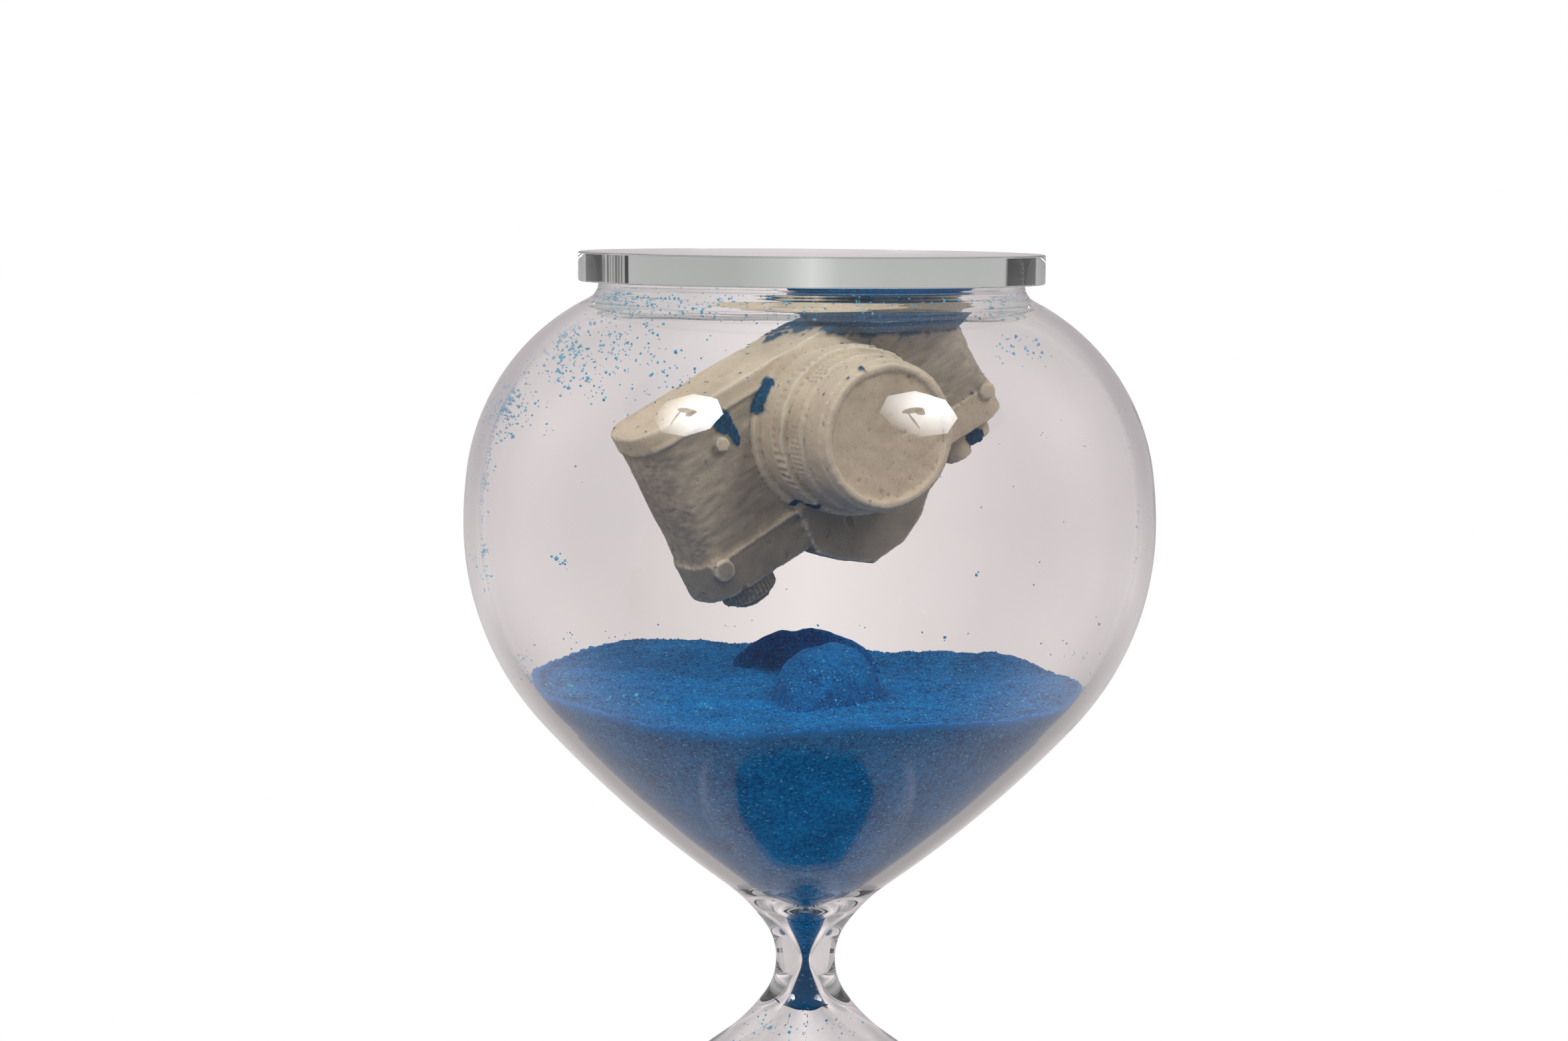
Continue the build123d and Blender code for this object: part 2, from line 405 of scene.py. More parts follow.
def sand_material(name, dark, light):
    """Dyed sand: a random tone in each grain, wide drifts of tone, and a few glossier grains painted pale as
    painted glints.
    """
    material = new_material(name)
    tree = material.node_tree
    place = where(tree)
    grain = add(tree, "ShaderNodeTexVoronoi", Vector=place, Scale=1 / (0.6 * MM))
    tone = add(tree, "ShaderNodeSeparateColor", Color=grain.outputs["Color"])
    drift = sums(tree, "ADD", lumps(tree, place, 14.0, 4.0), lumps(tree, place, 1.8, 3.0, 0.7))
    mixed = sums(tree, "ADD", sums(tree, "MULTIPLY", tone.outputs[0], 0.7), drift)
    colour = ramp(tree, reach(tree, mixed, 0.85, 1.85), (0.0, dark), (1.0, light))
    # Painted highlight: lighter blue along the top edge of the sand against the glass.
    rim = attribute(tree, "rim")
    colour = blend(tree, rim, colour, (0.002, 0.24, 0.72))
    # Darker blue: painted shade in the throat plug and on the lumps' shaded sides, and a darker tone on the
    # bonded bed.
    shade_and_dark_tone = attribute(tree, "shade_and_dark_tone")
    colour = blend(tree, shade_and_dark_tone, colour, (0.001, 0.070, 0.19))
    # Painted glints: a few grains painted pale; they are also made glossier.
    spark = reach(tree, tone.outputs[1], 0.975, 0.985)
    colour = blend(tree, sums(tree, "MULTIPLY", spark, 0.55), colour, (0.16, 0.55, 0.85))
    rough = reach(tree, spark, 0.0, 1.0, 0.82, 0.3)
    heap = sums(tree, "ADD", grain.outputs["Distance"], lumps(tree, place, 1.8, 3.0, 0.7))
    fine = bump(tree, heap, 0.5, 0.9)
    shader = add(
        tree, "ShaderNodeBsdfPrincipled", Base_Color=colour, Roughness=rough, Normal=fine
    )
    shader.inputs["Specular IOR Level"].default_value = 0.12
    output(tree, shader.outputs[0])
    return material


def plaster_material():
    """Tan cast plaster: painted shade in its hollows, greyer in its panel, rubbed pale on edges, blue sand
    stuck on.
    """
    material = new_material("cast_plaster")
    tree = material.node_tree
    place = where(tree)
    wide = lumps(tree, place, 17.0, 5.0, 0.6)
    colour = ramp(
        tree, reach(tree, wide, 0.32, 0.68),
        (0.0, (0.60, 0.48, 0.355)), (0.5, (0.70, 0.57, 0.43)), (1.0, (0.72, 0.585, 0.44))
    )
    streaks = attribute(tree, "panel")
    colour = blend(tree, sums(tree, "MULTIPLY", streaks, 0.75), colour, (0.24, 0.215, 0.19))
    grey = attribute(tree, "grey")
    colour = blend(tree, grey, colour, (0.135, 0.135, 0.135))
    speckle = reach(tree, lumps(tree, place, 0.9, 2.0), 0.30, 0.42, 1.0, 0.0)
    colour = blend(tree, sums(tree, "MULTIPLY", speckle, 0.25), colour, (0.12, 0.11, 0.10))
    worn = attribute(tree, "worn")
    colour = blend(tree, worn, colour, (0.78, 0.70, 0.58))
    # Painted shade: darker where the surface curves inwards.
    hollow = attribute(tree, "hollow")
    colour = blend(tree, hollow, colour, (0.13, 0.115, 0.10))
    grain = add(tree, "ShaderNodeTexVoronoi", Vector=place, Scale=1 / (0.5 * MM))
    tone = add(tree, "ShaderNodeSeparateColor", Color=grain.outputs["Color"])
    blue = ramp(tree, tone.outputs[0], (0.0, (0.001, 0.035, 0.09)), (1.0, (0.003, 0.11, 0.24)))
    caught = attribute(tree, "caught")
    colour = blend(tree, caught, colour, blue)
    cloth = sums(tree, "MULTIPLY", lumps(tree, place, 1.3, 2.0), streaks)
    fine = bump(tree, sums(tree, "ADD", lumps(tree, place, 0.7, 4.0, 0.7), cloth), 0.2, 0.7)
    shader = add(
        tree, "ShaderNodeBsdfPrincipled", Base_Color=colour, Roughness=0.86, Normal=fine
    )
    shader.inputs["Specular IOR Level"].default_value = 0.25
    output(tree, shader.outputs[0])
    return material


def dust_material():
    """Single grains caught on glass: paler than the sand in bulk."""
    material = new_material("caught_dust")
    tree = material.node_tree
    tone = lumps(tree, where(tree), 1.5, 2.0)
    colour = ramp(
        tree, reach(tree, tone, 0.3, 0.7), (0.0, (0.02, 0.28, 0.50)), (1.0, (0.12, 0.58, 0.85))
    )
    shader = add(tree, "ShaderNodeBsdfPrincipled", Base_Color=colour, Roughness=0.8)
    output(tree, shader.outputs[0])
    return material


VESSEL_GLASS = glass("blown_glass", (0.975, 0.965, 0.96), (0.93, 0.92, 0.915), ripple=0.05)
PLATE_GLASS = glass("plate_glass", (0.705, 0.765, 0.745), (0.93, 0.95, 0.94), smear=0.04)
BOND_GLASS = glass("bond_film", (0.92, 0.92, 0.90), (0.95, 0.95, 0.94), ior=1.3)
BLUE = sand_material("blue_sand", (0.001, 0.055, 0.195), (0.005, 0.28, 0.72))
CRUST = sand_material("crusted_sand", (0.003, 0.058, 0.19), (0.004, 0.22, 0.60))
PLASTER = plaster_material()
DUST_BLUE = dust_material()


# ---------------------------------------------------------------- the vessel and its plates

def place_piece(obj, slot, material, *nodes):
    """Gives a piece its material and body, and hides the CAD nodes it stands for; the record slot is not
    used.
    """
    obj.data.materials.append(material)
    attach(obj, "root")
    if nodes:
        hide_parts(*nodes)
    return obj


def tooled():
    """The outside, drawn finely near the lip with the faint ring marks left by shaping."""
    fine = walk((WAIST_R, 0), OUTER_MOVES, reach=0.3)
    outline = np.concatenate((OUTER[OUTER[:, 1] < TOOLED_FROM], fine[fine[:, 1] >= TOOLED_FROM]))
    height = outline[:, 1]
    marks = 0.06 * np.sin(height * 2.9) + 0.035 * np.sin(height * 5.3 + 1.0)
    marks = marks * smooth(221.0, 223.0, height) * smooth(LIP_Z, LIP_Z - 1.5, height)
    return outline + np.stack((marks, 0 * marks), 1)


OUTER_DRAWN = tooled()
outer = np.concatenate((flip(OUTER_DRAWN), OUTER_DRAWN[1:]))
inner = np.concatenate((INNER[::-1], (INNER * (1, -1))[1:]))
vessel = ring_mesh("vessel", turned(np.concatenate((outer, inner))), closed=True, sharp=35)
place_piece(vessel, "blown_glass", VESSEL_GLASS, "upper_bulb", "neck", "lower_bulb")


def plate(name, node, low):
    """A glass disc with narrow polished bevels."""
    turn = np.radians((-90, -67.5, -45, -22.5, 0))
    edge = PLATE_R - PLATE_BEVEL + PLATE_BEVEL * np.cos(turn)
    under = low + PLATE_BEVEL + PLATE_BEVEL * np.sin(turn)
    over = low + PLATE_T - PLATE_BEVEL - PLATE_BEVEL * np.sin(turn)
    radii = np.linspace(8, PLATE_R - PLATE_BEVEL, 9)[:-1]
    outline = [(r, low) for r in radii] + list(zip(edge, under))
    outline += list(zip(edge[::-1], over[::-1])) + [(r, low + PLATE_T) for r in radii[::-1]]
    disc = ring_mesh(name, turned(outline), sharp=20)
    place_piece(disc, "plate_glass", PLATE_GLASS, node)


plate("upper_plate_disc", "upper_end_plate", PLATE_Z)
plate("lower_plate_disc", "lower_end_plate", -PLATE_Z - PLATE_T)


def bond(name, node, low):
    """The thin film of adhesive on the ground lip, with a slightly uneven inner bead."""
    outline = np.array((
        (MOUTH_R + 0.5, low + 0.03), (LIP_R - 0.5, low + 0.03),
        (LIP_R - 0.5, low + BOND_T - 0.03), (MOUTH_R + 0.5, low + BOND_T - 0.03)
    ))
    rings = turned(outline)
    angle = np.arange(AROUND) * 2 * math.pi / AROUND
    loop = np.stack((np.cos(angle), np.sin(angle), np.zeros(AROUND)), 1)
    wander = noise(loop * 40, 11.0, 5) * 0.4
    rings[..., :2] += (loop * wander[:, None])[None, :, :2]
    film = ring_mesh(name, rings, closed=True, sharp=40)
    place_piece(film, "clear_adhesive", BOND_GLASS, node)


bond("upper_bond_film", "upper_bond_ring", LIP_Z)
bond("lower_bond_film", "lower_bond_ring", -PLATE_Z)


# ---------------------------------------------------------------- sand

# Swells and dips of the upper sand: X, Y, reach in X and Y, and rise
SAND_SWELLS = (
    (-27.0, -80.0, 34.0, 30.0, -5.0),
    (-48.0, 58.0, 36.0, 26.0, 5.2),
    (44.0, 54.0, 13.0, 10.0, 4.6),
    (66.0, 45.0, 13.0, 11.0, 5.4),
    (78.0, -20.0, 26.0, 34.0, 3.0),
    (10.0, 46.0, 40.0, 9.0, 1.6),
    (12.0, -2.0, 34.0, 30.0, 1.6),
    (-52.0, -12.0, 26.0, 20.0, -1.3),
)


def sand_level(x, y):
    """Height of the upper sand's surface from the waist."""
    z = 94.4 - 0.019 * x - 0.012 * y
    for cx, cy, sx, sy, rise in SAND_SWELLS:
        z = z + rise * np.exp(-((x - cx) / sx) ** 2 - ((y - cy) / sy) ** 2)
    flat = np.stack((x, y, np.zeros_like(x)), -1)
    z = z + 0.70 * noise(flat, 15.0, 1) + 0.35 * noise(flat, 4.5, 2)
    return z + 0.42 * noise(flat, 1.7, 3) + 0.26 * noise(flat, 0.95, 4)


def upper_sand():
    """The bulk in the bulb with the plug below it, in one closed mesh inside the glass."""
    around = 560
    angle = np.arange(around) * 2 * math.pi / around
    cos, sin = np.cos(angle), np.sin(angle)
    edge = np.full(around, SAND_EDGE_Z)
    for _ in range(8):
        radius = inside_r(edge) - SAND_GAP
        edge = sand_level(radius * cos, radius * sin)
    low = -PLUG_DEPTH
    lows = np.concatenate((np.linspace(0, 0.42, 40), np.linspace(0.42, 1.0, 42)[1:]))
    rings = []
    for share in lows:
        z = low + (edge - low) * share
        wobble = noise(np.stack((cos * 20, sin * 20, z), -1), 2.2, 8)
        wall = inside_r(z)
        radius = wall - np.minimum(SAND_GAP + 0.08 * np.abs(wobble), 0.08 * wall)
        rings.append(np.stack((radius * cos, radius * sin, z), -1))
    ragged = noise(np.stack((cos * 3, sin * 3, np.zeros(around)), -1), 1.6, 9)
    foot = rings[0].copy()
    rings[0][:, 2] += 1.6 * ragged
    for share in (0.55, 0.2):
        inset = foot * (share, share, 1)
        inset[:, 2] += 1.2 * ragged * share + 0.6
        rings.insert(0, inset)
    top = rings[-1]
    for share in np.linspace(1, 0, 92)[1:-1]:
        x, y = top[:, 0] * share, top[:, 1] * share
        rings.append(np.stack((x, y, sand_level(x, y)), -1))
    return ring_mesh("upper_sand_bulk", np.array(rings))


bulk = upper_sand()
points = read_points(bulk)
radius = np.hypot(points[:, 0], points[:, 1])
level = sand_level(points[:, 0], points[:, 1])
near_wall = smooth(3.5, 0.6, inside_r(points[:, 2]) - radius)
drop = level - points[:, 2]
# Painted highlight along the top edge next to the glass, and painted shade on the sand below the waist.
set_values(bulk, "rim", 0.8 * near_wall * smooth(3.2, 0.4, drop) * (points[:, 2] > 60))
set_values(bulk, "shade_and_dark_tone", 0.85 * smooth(6, -6, points[:, 2]))
place_piece(bulk, "blue_sand", BLUE, "upper_sand", "throat_sand")


def lump(name, half, centre, turn, seed, dished=0.0):
    """One caked lump: an egg shape broken up at three scales, dished on the viewer's side."""
    made = bmesh.new()
    bmesh.ops.create_icosphere(made, subdivisions=5, radius=1.0)
    mesh = bpy.data.meshes.new(name)
    made.to_mesh(mesh)
    made.free()
    obj = bpy.data.objects.new(name, mesh)
    bpy.context.scene.collection.objects.link(obj)
    flat = np.empty(len(mesh.vertices) * 3)
    mesh.vertices.foreach_get("co", flat)
    unit = flat.reshape(-1, 3)
    points = unit * half
    front = unit[:, 1] < 0
    if dished:
        bowl = points[:, 1] * 0.25 + dished * (1 - unit[:, 0] ** 2 - unit[:, 2] ** 2)
        points[:, 1] = np.where(front, bowl, points[:, 1])
    grow = 1 + 0.12 * noise(points, 15.0, seed) + 0.05 * noise(points, 5.0, seed + 1)
    points = points * grow[:, None]
    rough = 0.30 * noise(points, 1.6, seed + 2) + 0.16 * noise(points, 0.9, seed + 3)
    points = points + unit * rough[:, None]
    spin = Matrix.Rotation(math.radians(turn), 3, "Z")
    points = points @ np.array(spin).T + centre
    write_points(obj, points)
    finish_mesh(obj)
    # Painted shade: darker on the dished side facing the viewer, or on the underside of an undished lump.
    shade_and_dark_tone = smooth(0.1, -0.5, unit[:, 1]) * 0.15 if dished else 0.25 * smooth(0.2, -0.6, unit[:, 2])
    set_values(obj, "shade_and_dark_tone", shade_and_dark_tone)
    set_values(obj, "rim", np.zeros(len(points)))
    return obj


back = lump("crust_lump_back", (25.5, 9.5, 17.0), (-1.0, 22.0, 93.0), -6.0, 20, dished=5.0)
front = lump("crust_lump_front", (17.0, 25.0, 18.5), (7.0, -33.0, 93.0), -20.0, 30)
place_piece(back, "crusted_sand", CRUST, "sand_crust_lumps")
place_piece(front, "crusted_sand", CRUST, "sand_crust_lumps")


def heap_level(x, y):
    """Height of the lower heap's surface from the waist."""
    away = np.hypot(x, y)
    slope = math.tan(math.radians(PILE_SLOPE))
    flat = np.stack((x, y, np.zeros_like(x)), -1)
    z = PILE_HEIGHT - LIP_Z - slope * (np.sqrt(away ** 2 + 16.0) - 2.0)
    rough = 3.4 * noise(flat, 34.0, 40) + 1.8 * noise(flat, 13.0, 41) + 0.6 * noise(flat, 5.0, 42)
    z = z + (rough - 0.05 * x) * smooth(0, 26, away)
    return z + 0.34 * noise(flat, 1.6, 43) + 0.20 * noise(flat, 0.9, 44)


def lower_heap():
    """The heap over the lower plate, spread out to the wall of the bulb."""
    around = 480
    angle = np.arange(around) * 2 * math.pi / around
    cos, sin = np.cos(angle), np.sin(angle)
    floor = -PLATE_Z + 0.05
    edge = np.full(around, -204.0)
    for _ in range(12):
        radius = inside_r(edge) - SAND_GAP
        edge = 0.5 * edge + 0.5 * heap_level(radius * cos, radius * sin)
    rings = []
    for share in (0.3, 0.8, 1.0):
        radius = (MOUTH_R - 0.5) * share
        rings.append(np.stack((radius * cos, radius * sin, np.full(around, floor)), -1))
    for share in np.linspace(0.02, 1, 34):
        z = -LIP_Z + (edge + LIP_Z) * share
        radius = inside_r(z) - SAND_GAP
        rings.append(np.stack((radius * cos, radius * sin, z), -1))
    top = rings[-1]
    for share in np.linspace(1, 0, 92)[1:-1]:
        x, y = top[:, 0] * share, top[:, 1] * share
        rings.append(np.stack((x, y, heap_level(x, y)), -1))
    return ring_mesh("lower_sand_heap", np.array(rings))


heap = lower_heap()
set_values(heap, "rim", np.zeros(len(heap.data.vertices)))
set_values(heap, "shade_and_dark_tone", np.zeros(len(heap.data.vertices)))
place_piece(heap, "blue_sand", BLUE, "lower_sand")


def specks(name, places, sizes, seed):
    """Loose grains in one mesh: an uneven eight-sided grain at each place."""
    rng = np.random.default_rng(seed)
    shape = np.array(((1, 0, 0), (-1, 0, 0), (0, 1, 0), (0, -1, 0), (0, 0, 1), (0, 0, -1)), float)
    sides = np.array(((0, 2, 4), (2, 1, 4), (1, 3, 4), (3, 0, 4), (2, 0, 5), (1, 2, 5), (3, 1, 5), (0, 3, 5)))
    count = len(places)
    turns = rng.normal(size=(count, 3, 3))
    turns, _ = np.linalg.qr(turns)
    turns *= np.sign(np.linalg.det(turns))[:, None, None]
    stretch = rng.uniform(0.6, 1.2, (count, 6, 1))
    grains = np.einsum("nij,nkj->nki", turns, shape * stretch) * (np.asarray(sizes) / 2)[:, None, None]
    points = (grains + places[:, None, :]).reshape(-1, 3)
    faces = (sides[None] + 6 * np.arange(count)[:, None, None]).reshape(-1, 3).tolist()
    obj = add_mesh(name, points, faces)
    obj.data.polygons.foreach_set("use_smooth", [False] * len(obj.data.polygons))
    set_values(obj, "rim", np.zeros(len(points)))
    set_values(obj, "shade_and_dark_tone", np.zeros(len(points)))
    return obj


def loose_grains():
    """Grains lying on the upper sand, closest together at its rim."""
    rng = np.random.default_rng(21)
    count = 4200
    angle = rng.uniform(0, 2 * math.pi, count)
    at_rim = rng.uniform(0, 1, count) < 0.4
    rim_share = rng.uniform(0.965, 0.997, count)
    share = np.where(at_rim, rim_share, rng.uniform(0, 1, count) ** 0.5)
    away = share * (inside_r(SAND_EDGE_Z) - 1.2)
    level = sand_level(away * np.cos(angle), away * np.sin(angle))
    away = np.minimum(away, inside_r(level + GRAIN_LIFT) - 0.6)
    x, y = away * np.cos(angle), away * np.sin(angle)
    places = np.stack((x, y, sand_level(x, y) + GRAIN_LIFT), -1)
    return specks("loose_grains", places, rng.uniform(0.45, 0.95, count), 22)


place_piece(loose_grains(), "blue_sand", BLUE)


def falling():
    """A thin stream from the plug to the heap, spreading as it falls."""
    rng = np.random.default_rng(3)
    count = 150
    depth = PLUG_DEPTH + 1 + (LIP_Z - PILE_HEIGHT - PLUG_DEPTH - 2) * rng.uniform(0, 1, count) ** 1.2
    angle = rng.uniform(0, 2 * math.pi, count)
    spread = rng.uniform(0, 1, count) * (0.8 + 0.006 * depth)
    places = np.stack((spread * np.cos(angle), spread * np.sin(angle), -depth), -1)
    return specks("falling_stream", places, rng.uniform(0.35, 0.7, count), 4)


place_piece(falling(), "blue_sand", BLUE, "falling_grains")

# Dust on the inside of the glass: azimuth from the viewer towards the left, height, the
# spread of both, and a count
DUST = (
    (50.0, 205.0, 22.0, 10.0, 330), (72.0, 186.0, 14.0, 9.0, 260), (84.0, 165.0, 6.0, 18.0, 90),
    (72.0, 137.0, 7.0, 7.0, 50), (20.0, 196.0, 22.0, 9.0, 34),
    (45.0, 144.0, 3.5, 2.5, 18), (-48.0, 208.0, 8.0, 4.0, 40), (-75.0, 160.0, 12.0, 30.0, 24),
    (150.0, 190.0, 40.0, 25.0, 60), (0.0, 223.0, 180.0, 2.6, 520), (20.0, 101.0, 160.0, 3.0, 150),
    (60.0, 221.0, 60.0, 2.0, 260),
    (200.0, 150.0, 50.0, 40.0, 40), (0.0, -23.0, 180.0, 3.0, 70), (30.0, -30.0, 120.0, 5.0, 60),
    (90.0, -120.0, 180.0, 45.0, 160), (10.0, -222.0, 180.0, 5.0, 160),
)


def dust():
    rng = np.random.default_rng(11)
    azimuth, height = [], []
    for middle, z, wide, tall, count in DUST:
        spread = rng.uniform(-1, 1, count) if wide >= 180 else rng.normal(0, 0.55, count)
        azimuth.append(np.radians(middle + wide * spread))
        height.append(z + tall * rng.normal(0, 0.55, count))
    azimuth = np.concatenate(azimuth)
    height = np.concatenate(height)
    parent = rng.integers(0, len(height), len(height))
    clumped = rng.uniform(0, 1, len(height)) < 0.4
    azimuth = np.where(clumped, azimuth[parent] + rng.normal(0, 0.011, len(height)), azimuth)
    height = np.where(clumped, height[parent] + rng.normal(0, 1.1, len(height)), height)
    height = np.clip(height, -LIP_Z + 1, LIP_Z - 1)
    radius = inside_r(height) - 0.12
    places = np.stack((-radius * np.sin(azimuth), -radius * np.cos(azimuth), height), -1)
    return specks("wall_dust", places, 0.45 + 1.5 * rng.beta(1.1, 3.2, len(height)), 12)


place_piece(dust(), "blue_sand", DUST_BLUE)


# ---------------------------------------------------------------- the cast camera

turn_x, turn_y, turn_z = (math.radians(angle) for angle in CAST_TURN)
CAST_AXES = np.array(
    Matrix.Rotation(turn_x, 3, "X") @ Matrix.Rotation(turn_y, 3, "Y") @ Matrix.Rotation(turn_z, 3, "Z")
)
LENS_X, LENS_Z = -0.3, 32.3


def in_cast(points):
    """Points in the cast's own frame: X along the body, Y to the lens, Z to the prism."""
    return (points - CAST_PLACE) @ CAST_AXES


def groove(value, place, width):
    """1 in a narrow groove at place, 0 away from it."""
    return np.exp(-(((value - place) / width) ** 2))


def spot(local, x, z, wide, tall):
    """1 inside an oval on the front of the cast, fading to 0 outside."""
    away = ((local[:, 0] - x) / wide) ** 2 + ((local[:, 2] - z) / tall) ** 2
    return smooth(1.25, 0.7, away) * (local[:, 1] > -8)


def cast_camera():
    obj = remeshed_copy("cast_camera_body", "cast_camera", 0.7)
    soften(obj, 4)
    points, normals = read_points(obj), read_normals(obj)
    local = in_cast(points)
    facing = normals @ CAST_AXES
    x, y, z = local.T
    around = np.arctan2(z - LENS_Z, x - LENS_X)
    lens_r = np.hypot(x - LENS_X, z - LENS_Z)
    on_body = (y < 1.2) & ((lens_r > 31.5) | (y < -4))
    panel = smooth(6.4, 7.4, z) * smooth(51.4, 50.4, z) * on_body
    panel = panel * smooth(-31, -29, y)

    push = 0.38 * noise(local, 9.0, 50) + 0.16 * noise(local, 3.0, 51) + 0.07 * noise(local, 1.3, 52)
    streak = noise(local * (0.22, 1.0, 1.0), 0.95, 53) + 0.6 * noise(local * (0.4, 1, 1), 1.9, 54)
    push += panel * 0.08 * streak
    push += 0.45 * groove(z, 6.2, 0.7) * on_body * (y > -3) * smooth(40, -10, x)
    push += 0.40 * groove(z, 51.6, 0.5) * on_body * (y > -3)
    teeth = smooth(-0.15, 0.35, np.cos(around * 66))
    grip = ((y > 11.0) & (y < 16.6)).astype(float) * (lens_r > 28.4)
    kept = smooth(-0.35, 0.25, noise(local, 11.0, 55))
    push -= 0.45 * grip * (1 - teeth) * kept
    fine = smooth(-0.1, 0.4, np.cos(around * 92))
    second = ((y > 18.5) & (y < 24.5)).astype(float) * (lens_r > 26) * (np.abs(facing[:, 1]) < 0.5)
    push -= 0.32 * second * (1 - fine) * smooth(-0.1, 0.4, noise(local, 9.0, 56))
    for place, deep in ((8.9, 0.25), (17.1, 0.25), (26.1, 0.3), (30.5, 0.2), (1.1, 0.3)):
        push -= deep * groove(y, place, 0.5) * (np.abs(facing[:, 1]) < 0.6) * (lens_r < 31)
    knob = (z > 65.5) & ((np.hypot(x + 48.5, y + 14) < 11) | (np.hypot(x - 52.5, y + 14.5) < 9))
    knurl = smooth(-0.2, 0.3, np.cos(np.arctan2(y + 14, np.where(x < 0, x + 48.5, x - 52.5)) * 36))
    push -= 0.4 * knob * (1 - knurl) * (np.abs(facing[:, 2]) < 0.4)
    chips = smooth(0.42, 0.75, noise(local, 5.0, 57)) * (1 - panel)
    push -= 0.9 * chips * smooth(0.2, 0.6, noise(local, 21.0, 58))
    holes = smooth(0.72, 0.9, noise(local, 1.9, 59))
    push -= 0.5 * holes

    blue = np.zeros(len(points))
    for px, pz, wide, tall in (
        (-35.9, 9.6, 3.6, 5.0), (-34.2, 14.5, 1.9, 5.5), (-26.0, 47.6, 1.6, 1.3), (50.4, 67.6, 4.0, 3.0)
    ):
        blue = np.maximum(blue, spot(local, px, pz, wide, tall) * (facing[:, 1] > -0.4))
    on_mount = smooth(28.2, 29.2, lens_r) * smooth(32.6, 31.6, lens_r) * (y < 3.5) * (y > -4)
    blue = np.maximum(blue, on_mount * smooth(15, 9, np.abs(np.degrees(around) + 129)))
    upward = normals[:, 2]
    ledge = smooth(0.1, 0.5, upward) * smooth(0.74, 0.86, noise(local, 2.0, 60))
    blue = np.maximum(blue, ledge * 0.8)
    near_bed = smooth(209, 220, points[:, 2] + 5 * noise(local, 8.0, 64))
    blue = np.maximum(blue, near_bed)
    blue = smooth(0.35, 0.55, blue + 0.28 * noise(local, 1.6, 61))
    push += 0.5 * blue * (1 + 0.6 * noise(local, 1.1, 62))
    write_points(obj, points + normals * push[:, None])

    finish_mesh(obj)
    fresh = read_normals(obj)
    edges = np.empty(len(obj.data.edges) * 2, np.int64)
    obj.data.edges.foreach_get("vertices", edges)
    a, b = edges.reshape(-1, 2).T
    moved = read_points(obj)
    step = moved[b] - moved[a]
    length = np.maximum(np.linalg.norm(step, axis=1), 1e-6)
    bend = np.einsum("ij,ij->i", fresh[b] - fresh[a], step) / length ** 2
    curve = np.bincount(a, bend, len(points)) + np.bincount(b, bend, len(points))
    curve /= np.maximum(np.bincount(np.concatenate((a, b)), minlength=len(points)), 1)
    set_values(obj, "worn", 0.6 * smooth(0.10, 0.42, curve) * (1 - blue))
    # Painted shade where the surface curves inwards.
    set_values(obj, "hollow", 0.45 * smooth(-0.1, -0.6, curve))
    set_values(obj, "panel", panel * (0.75 + 0.35 * streak))
    top_band = smooth(50.4, 52.0, z) * (y < 3) * smooth(30, 20, x)
    grey = np.clip(0.6 * top_band + 0.12 * smooth(0, 0.5, noise(local, 13.0, 63)), 0, 0.8)
    set_values(obj, "grey", grey)
    set_values(obj, "caught", blue)
    return obj


place_piece(cast_camera(), "cast_stone", PLASTER, "cast_camera")


def bonded_bed():
    """The sand bed glued under the upper plate, with a ragged underside round the cast."""
    around = 300
    angle = np.arange(around) * 2 * math.pi / around
    spin = np.array(Matrix.Rotation(math.radians(BED_TURN), 3, "Z"))
    loop = np.stack((np.cos(angle), np.sin(angle), 0 * angle), 1)
    edge = 1 + 0.05 * noise(loop * 30, 12.0, 70) + 0.035 * noise(loop * 30, 4.0, 71)
    rings = []
    for share in np.concatenate((np.linspace(0.01, 0.9, 60), np.linspace(0.9, 1.0, 14)[1:])):
        flat = loop * (*BED_HALF, 0) * (edge * share)[:, None] @ spin.T + (*BED_CENTRE, 0)
        depth = 10.4 + 4.2 * np.exp(-(((flat[:, 0] - 26) / 11) ** 2)) + 2.4 * groove(flat[:, 0], 50, 7)
        depth = depth + 1.6 * noise(flat, 9.0, 72) + 1.1 * noise(flat, 4.0, 73)
        depth = depth + 0.7 * noise(flat, 2.0, 74) + 0.3 * noise(flat, 1.1, 75)
        depth = np.clip(depth, 4.0, BED_DEPTH + 0.5) * (1 - share ** 7) ** 0.5
        flat[:, 2] = PLATE_Z - 0.08 - depth
        rings.append(flat)
    for share in (0.97, 0.6, 0.2):
        flat = loop * (*BED_HALF, 0) * (edge * share)[:, None] @ spin.T + (*BED_CENTRE, 0)
        flat[:, 2] = PLATE_Z - 0.06
        rings.append(flat)
    obj = ring_mesh("bonded_sand_bed", np.array(rings))
    points = read_points(obj)
    set_values(obj, "rim", np.zeros(len(points)))
    # A darker tone all over the bed, in patches.
    set_values(obj, "shade_and_dark_tone", 0.55 + 0.25 * noise(points, 7.0, 76))
    return obj


place_piece(bonded_bed(), "crusted_sand", CRUST, "camera_bond_pad")


# ---------------------------------------------------------------- stage, light and camera

# The lamp head in front of each softbox, as ovals in shares of its width
HEAD_PARTS = (((-0.05, 0.08), (0.17, 0.06)), ((0.02, 0.03), (0.07, 0.08)), ((-0.14, -0.12), (0.02, 0.2)))


